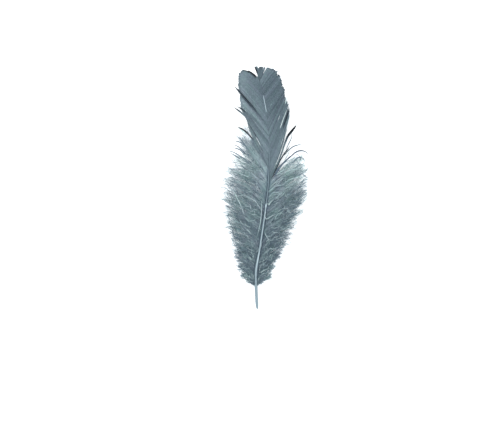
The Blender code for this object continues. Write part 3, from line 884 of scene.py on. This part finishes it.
def web_part(side, lock):
    """The barbs of one lock of web, each a ridged strip as wide as its barbules, and its loose barbules."""
    roots, w = web_roots(lock)
    chance = np.random.default_rng([WEB_SEED, side == RIGHT, round(lock["roots"][0] / MM * 10)])
    t = np.linspace(0, 1, WEB_COLUMNS + 1) ** WEB_PACKED
    closed = smooth(np.array(WEB_CLOSED[side]) * [MM, 1], roots)
    if lock["slim"]:
        closed = np.full((len(roots), 1), LOOSE_FROM)
    lines = web_lines(side, lock, roots, w, t, closed, chance)
    loose = np.maximum(t - closed, 0) / (1 - closed)
    _, across, up = directions(lines)
    spacing = np.clip(np.abs((np.gradient(lines, axis=0) * across).sum(-1)), *WEB_SPACINGS)
    for axis, most in zip((across, up), LOOSE_SWAY):
        sway = chance.normal(0, most, (len(roots), 1)) * loose**1.5 * (1 - closed)
        lines = lines + axis * sway[..., None]
    half = spacing * WEB_OVERLAP / 2 * (1 - step(0, BARE_FROM, loose)) + BARE_BARB * (1 - BARE_TAPER * loose)
    points = ribbons(lines, half, WEB_SECTION, side * WEB_ROLL)
    shade = web_shade(side, lock, roots, w, t, chance)
    yield strips(points, shade, roots, roots / SHAFT_LENGTH, t)
    some = closed[:, 0] < LOOSE_FROM
    if some.any():
        yield loose_barbules(lines[some], shade[some, -1:], roots[some], closed[some], chance)


def loose_barbules(lines, shade, roots, closed, chance):
    """The barbules on the ends of these barbs, from where they aren't closed any more."""
    at = closed + (1 - closed) * barbule_places(len(lines), LOOSE_BARBULES, chance)
    length = LOOSE_LENGTH * np.minimum(3.5 * (1 - closed), 1) * (1.2 - at)
    points, lighter = barbules(lines, at, length, np.full(at.shape, LOOSE_RISE), chance)
    return slivers(points, shade + LOOSE_LIGHTER + lighter, roots, roots / SHAFT_LENGTH, at)


def web(side, material):
    parts = [part for lock in web_locks(side) for part in web_part(side, lock)]
    piece(f"web_{SIDES[side]}", parts, material)


# ---- The down ----


def down_lines(side, lock, chance):
    """Centre lines of the barbs of one lock of down, strand by strand, how light each is, and its root."""
    t = DOWN_POINTS
    w = (np.arange(STRANDS) + 0.5) * 2 / STRANDS - 1 + chance.uniform(-STRAND_STRAY, STRAND_STRAY, STRANDS)
    w = np.clip(w * STRAND_SPREAD, -STRAND_EDGE, STRAND_EDGE)
    each = (STRANDS, 1)
    wisp = chance.uniform(0, 1, each) < WISPS
    swing = np.radians(chance.uniform(-STRAND_SWING, STRAND_SWING, each))
    strands = lock_lines(side, lock, w, t, swing, chance.uniform(*STRAND_LENGTHS, each))
    body = np.sin(math.pi * t**0.7)
    high = chance.uniform(*WISP_LEVELS, each)
    level = np.where(wisp, high, chance.uniform(-STRAND_LEVEL, STRAND_LEVEL, each))
    strands[..., 2] += level * lock["thickness"] / 2 * body
    _, across, up = directions(strands)
    for axis, most in ((across, STRAND_SWAY[side]), (up, STRAND_SWAY_UP * lock["thickness"])):
        size = chance.uniform(-most, most, each) * np.where(wisp, WISP_SWAY, 1.0)
        turns = t * chance.uniform(*STRAND_WAVES, each) + chance.uniform(0, 1, each)
        strands += axis * (size * np.sin(2 * math.pi * turns) * np.sqrt(t) * (1 - 0.3 * t))[..., None]
    barb = (STRANDS, STRAND_BARBS, 1)
    width = STRAND_WIDTH * np.where(wisp, WISP_WIDTH, 1.0) * np.sin(math.pi * t**0.6) + BARB_ASIDE
    aside = chance.normal(0, 1, barb) * width[:, None] + chance.normal(0, 1, barb) * STRAND_CURL * t**3
    above = chance.normal(0, 1, barb) * BARB_ABOVE * body
    lines = strands[:, None] + across[:, None] * aside[..., None] + up[:, None] * above[..., None]
    lines = lines[:, :, :1] + (lines - lines[:, :, :1]) * chance.uniform(*BARB_LENGTHS, (*barb, 1))
    shade = DOWN_PLAIN + chance.normal(0, STRAND_SHADE, each) + np.where(wisp, WISP_LIGHTER, 0.0)
    shade = shade + chance.normal(0, BARB_SHADE, barb[:2])
    roots = np.repeat(roots_at(lock, w), STRAND_BARBS)
    return lines.reshape(-1, len(t), 3), shade.reshape(-1), roots


def down_parts(side, locks, chance):
    """The barbs of these locks of down, and their barbules."""
    found = [down_lines(side, lock, chance) for lock in locks]
    lines, shade, roots = (np.concatenate(values) for values in zip(*found))
    lines[..., 2] = np.maximum(lines[..., 2], DOWN_LOWEST)
    t = DOWN_POINTS
    column = (np.arange(len(lines)) + 0.5) / len(lines)
    inner, outer = smooth(np.array(DOWN_LIGHTER[side]) * [MM, 1, 1], roots).T[..., None]
    near_web = step(*WEBBED_ROOTS, roots)[:, None]
    further = UNDER_FURTHER * step(*UNDER_ROOTS, roots)[:, None]

    def webbed(ends, at):
        return near_web * (1 - step(ends[0] + further, ends[1] + further, at))

    # Each barb's shade along it, with painted shade beside the shaft.
    def lighter(at, places):
        return shade[:, None] + inner + (outer - inner) * at - SHAFT_PAINTED_SHADE * shade_beside_shaft(places)

    half = (RAMUS_WIDTH[0] * (1 - t) + RAMUS_WIDTH[1] * t) / 2 + WEBBED_WIDTH * webbed(WEBBED_END, t)
    points = ribbons(lines, half, DOWN_SECTION)
    yield strips(points, lighter(t, lines) + RAMUS_LIGHTER[0] + RAMUS_LIGHTER[1] * t, roots, column, t)
    at = FIRST_BARBULE + (1 - FIRST_BARBULE) * barbule_places(len(lines), BARBULES, chance)
    like_web = webbed(WEBBED_BARBULES_END, at)
    length = BARBULE_LENGTH * (1 - 0.5 * at**2) * step(*BARBULES_GROW, at) * (1 - 0.7 * like_web)
    points, own = barbules(lines, at, length, 1 - 0.8 * like_web, chance)
    own = own * (1 - 0.7 * like_web) + 0.2 * at**1.5 + 0.05 * like_web
    yield slivers(points, lighter(at, points[..., 2, :]) + own, roots, column, at)


def down(side, material):
    chance = np.random.default_rng(FLUFF_SEED + side)
    locks = list(down_locks(side))
    half = DOWN_LOCKS // 2
    places = {"lower": locks[:half], "upper": locks[half:DOWN_LOCKS], "beside_web": locks[DOWN_LOCKS:]}
    for place, some in places.items():
        if some:
            piece(f"down_{SIDES[side]}_{place}", list(down_parts(side, some, chance)), material)


def hairs(lines, shade, width, count, chance):
    """Barbs that lie over the rest of the down, each tapering and with short barbules."""
    t = np.linspace(0, 1, lines.shape[1])
    roots = np.clip(lines[:, 0, 1], 0, SHAFT_LENGTH)
    column = (np.arange(len(lines)) + 0.5) / len(lines)
    half = width * np.sin(math.pi * (HAIR_PHASE + (1 - HAIR_PHASE) * t)) / 2
    points = ribbons(lines, half, DOWN_SECTION)
    yield strips(points, shade[:, None], roots, column, t)
    at = barbule_places(len(lines), count, chance)
    points, lighter = barbules(lines, at, HAIR_BARBULE * (1 - 0.5 * at), np.ones(at.shape), chance)
    yield slivers(points, shade[:, None] - HAIR_DARKER + 0.5 * lighter, roots, column, at)


def down_top(places):
    """How high the down's upper side is at these points."""
    top = np.zeros(places.shape[:-1])
    for side in (LEFT, RIGHT):
        roots = np.linspace(DOWN_FIRST, DOWN_LAST[side], TOP_BARBS)
        lines = barbs(side, roots, roots, DOWN_POINTS).reshape(-1, 3)
        far = np.linalg.norm(places[..., None, :] - lines[:, :2], axis=-1)
        near = lines[np.argmin(far, axis=-1), 2] + DOWN_THICKNESS * TOP_LEVEL
        top = np.maximum(top, np.where(far.min(-1) < TOP_REACH, near, 0))
    return top


def strays(material):
    """The hairs that stray over the rest, each along its own path."""
    chance = np.random.default_rng(FLUFF_SEED)
    paths = []
    for _, _, *places in STRAYS:
        keys = np.reshape(places, (-1, 2)) * MM
        paths.append(smooth(np.column_stack([np.linspace(0, 1, len(keys)), keys]), DOWN_POINTS))
    paths = np.array(paths)
    height = np.maximum(down_top(paths) + STRAY_STAND, STRAY_LOWEST)
    lines = np.concatenate([paths, height[..., None]], -1)
    shade = np.array([row[0] for row in STRAYS])
    width = np.array([[row[1] * MM] for row in STRAYS])
    parts = list(hairs(lines, shade, width, STRAY_BARBULES, chance))
    piece("down_strays", parts, material)


def curled(side, count, place, length, chance):
    """Centre lines of so many short curls that grow on the barbs of down, in this part of their length."""
    t = np.linspace(0, 1, CURL_POINTS)
    roots = chance.uniform(DOWN_FIRST, DOWN_LAST[side], count)
    start = chance.uniform(*place, (count, 1))
    bend = down_bend(side, roots)[:, None]
    under = barbs(side, roots, roots, np.hstack([start, start + CURL_AHEAD]), bend=bend)
    ahead = under[:, 1] - under[:, 0]
    turn = chance.uniform(-CURL_TURN, CURL_TURN, (count, 1))
    heading = np.arctan2(ahead[:, :1], ahead[:, 1:2]) + chance.normal(0, CURL_STRAY, (count, 1))
    heading = heading + turn * (t - 0.5)
    length = chance.uniform(*length, (count, 1)) * MM * (1.1 - 0.6 * start)
    pace = np.stack([np.sin(heading), np.cos(heading)], -1) * (length / len(t))[..., None]
    plan = under[:, :1, :2] + np.cumsum(pace, axis=1)
    plan[..., 0] = np.clip(plan[..., 0], BOX_MIDDLE[0] - CURL_ASIDE, BOX_MIDDLE[0] + CURL_ASIDE)
    body = DOWN_THICKNESS * np.sin(math.pi * start**0.7) * chance.uniform(*CURL_LEVELS, (count, 1))
    height = under[:, :1, 2] + body + CURL_ARCH * np.sin(math.pi * t)
    return np.concatenate([plan, height[..., None]], -1)


def curls(side, material):
    """Short curled barbs of down that stand out of the rest, on it and round its edge."""
    chance = np.random.default_rng(FLUFF_SEED + 10 * side)
    parts = []
    for count, start, end, least, most, width, darkest, lightest, dark in CURLS:
        lines = curled(side, count, (start, end), (least, most), chance)
        is_light = chance.uniform(0, 1, count) < 1 - dark
        # The very dark curls are painted shadow.
        shade = np.where(is_light, chance.uniform(darkest, lightest, count), CURL_SHADOW)
        parts.extend(hairs(lines, shade, width * MM, CURL_BARBULES, chance))
    piece(f"curls_{SIDES[side]}", parts, material)


# ---- The quill ----


def quill(material):
    """The shaft: a round quill at the butt that turns into a squarer rachis, grooved underneath."""
    stations = np.arange(0, SHAFT_LENGTH, QUILL_STEP)
    share, light, flank_shade, over = smooth(QUILL_LOOK, stations).T
    axis = (shaft_points(stations) + UP * over[:, None])[None]
    radii = smooth(SHAFT, stations)[:, 2] * share
    radii[-1] = QUILL_TIP
    _, across, up = directions(axis)
    angle = np.linspace(0, 2 * math.pi, QUILL_SIDES + 1)
    grown = step(*QUILL_TURNS, stations)[:, None]
    square = 1 + grown * QUILL_SQUARE * np.cos(4 * angle)
    depth, width = QUILL_GROOVE
    groove = 1 - grown * depth * np.exp(-(((angle - 1.5 * math.pi) / width) ** 2))
    reach = radii[:, None] * square * groove
    points = axis[0][:, None] + across[0][:, None] * (reach * np.cos(angle))[..., None]
    points = points + up[0][:, None] * (reach * np.sin(angle))[..., None]
    points = points[None]
    # The back is painted light and each flank darker: painted highlight and painted shade, as the light
    # falls.
    shade = light[:, None] - flank_shade[:, None] * step(*QUILL_BACK, np.abs(angle - math.pi / 2))
    roots, round_it = stations[None], angle[None, None] / (2 * math.pi)
    faces = sheet_faces(*points.shape[:-1])
    part = marked(points, faces, shade[None], roots, roots / SHAFT_LENGTH, round_it)
    piece("quill", [part], material)


# ---- Materials ----


def linear(colour):
    """The light that a colour stands for on screen, with opacity."""
    share = np.array(colour) / 255
    light = np.where(share <= 0.04045, share / 12.92, ((share + 0.055) / 1.055) ** 2.4)
    return (*light.tolist(), 1.0)


def node(tree, kind, **settings):
    made = tree.nodes.new(kind)
    for name, value in settings.items():
        setattr(made, name, value)
    return made


def mark(tree, name):
    return node(tree, "ShaderNodeAttribute", attribute_name=name).outputs["Fac"]


def math_node(tree, operation, first, second):
    made = node(tree, "ShaderNodeMath", operation=operation)
    for socket, value in zip(made.inputs, (first, second)):
        if isinstance(value, (int, float)):
            socket.default_value = value
        else:
            tree.links.new(value, socket)
    return made.outputs[0]


def ramp(tree, value, colours):
    made = node(tree, "ShaderNodeValToRGB")
    elements = made.color_ramp.elements
    while len(elements) < len(colours):
        elements.new(0.5)
    for element, (place, colour) in zip(elements, colours):
        element.position = place
        element.color = linear(colour)
    tree.links.new(value, made.inputs["Fac"])
    return made.outputs["Color"]


def surface(name, settings):
    """A material, its node tree and its shader with these settings."""
    made = bpy.data.materials.new(name)
    made.use_nodes = True
    shader = made.node_tree.nodes["Principled BSDF"]
    for socket, value in settings.items():
        shader.inputs[socket].default_value = value
    return made, made.node_tree, shader


def noise(tree, place, scale, detail):
    made = node(tree, "ShaderNodeTexNoise")
    made.inputs["Scale"].default_value = scale
    made.inputs["Detail"].default_value = detail
    tree.links.new(place.outputs[0], made.inputs["Vector"])
    return made.outputs["Fac"]


def mottled(tree, across, along, detail, depth):
    """The shade that is marked on the mesh with spots all over it, and the places that the spots go by."""
    place = node(tree, "ShaderNodeCombineXYZ")
    tree.links.new(math_node(tree, "MULTIPLY", mark(tree, "station"), across), place.inputs["X"])
    tree.links.new(math_node(tree, "MULTIPLY", mark(tree, "along"), along), place.inputs["Y"])
    spots = math_node(tree, "SUBTRACT", noise(tree, place, 1, detail), 0.5)
    uneven = math_node(tree, "MULTIPLY", spots, depth)
    return math_node(tree, "ADD", mark(tree, "shade"), uneven), place


def feather_material(name, settings, colours, tints, spots):
    """A dyed feather's surface, mottled and in places greener or redder. Its marked shade holds painted shade
    and painted glints as well as the dye's own tone.
    """
    made, tree, shader = surface(name, settings)
    shade, place = mottled(tree, *spots)
    tinted = node(tree, "ShaderNodeMixRGB", blend_type="MULTIPLY")
    tinted.inputs["Fac"].default_value = 1.0
    tree.links.new(ramp(tree, shade, colours), tinted.inputs["Color1"])
    tree.links.new(ramp(tree, noise(tree, place, *BLOTCHES), tints), tinted.inputs["Color2"])
    tree.links.new(tinted.outputs["Color"], shader.inputs["Base Color"])
    return made


def quill_material():
    """Dyed horn: smooth and a little glossy, with faint streaks along it, and a painted highlight on its back
    and painted shade on each flank.
    """
    made, tree, shader = surface("quill_horn", QUILL_SURFACE)
    shade, _ = mottled(tree, *QUILL_SPOTS)
    tree.links.new(ramp(tree, shade, QUILL_COLOURS), shader.inputs["Base Color"])
    return made


# ---- The floor, the light and the camera ----


def floor():
    bpy.ops.mesh.primitive_plane_add(size=FLOOR_SIZE, location=(0, 0, -FLOOR_GAP))
    made = bpy.context.object
    made.name = "floor"
    paper, _, _ = surface("paper", {"Base Color": linear(FLOOR), **FLOOR_SURFACE})
    made.data.materials.append(paper)


def area_light(name, place, size, power, colour):
    lamp = bpy.data.lights.new(name, "AREA")
    lamp.shape = "DISK"
    lamp.color = colour
    lamp.size = size
    lamp.energy = power
    made = placed(name, lamp, place)
    made.rotation_euler = (-Vector(place)).to_track_quat("-Z", "Y").to_euler()


def light():
    world = bpy.data.worlds.new("studio")
    world.use_nodes = True
    sky = world.node_tree.nodes["Background"].inputs
    sky["Color"].default_value = SKY
    sky["Strength"].default_value = SKY_STRENGTH
    bpy.context.scene.world = world
    for lamp in LAMPS:
        area_light(*lamp)


def camera():
    data = bpy.data.cameras.new("camera")
    data.sensor_width = SENSOR
    data.lens = SENSOR * CAMERA_HEIGHT / VIEW_WIDTH
    data.clip_end = CAMERA_FAR
    bpy.context.scene.camera = placed("camera", data, (*VIEW_MIDDLE, CAMERA_HEIGHT))


def main():
    bpy.context.scene.view_settings.view_transform = "Standard"
    vane = feather_material("dyed_web_and_painted_shade", WEB_SURFACE, WEB_COLOURS, WEB_TINTS, WEB_SPOTS)
    fluff = feather_material("dyed_down_and_painted_shade", DOWN_SURFACE, DOWN_COLOURS, DOWN_TINTS, DOWN_SPOTS)
    quill(quill_material())
    for side in (LEFT, RIGHT):
        web(side, vane)
        down(side, fluff)
        curls(side, fluff)
    strays(fluff)
    floor()
    light()
    camera()


main()
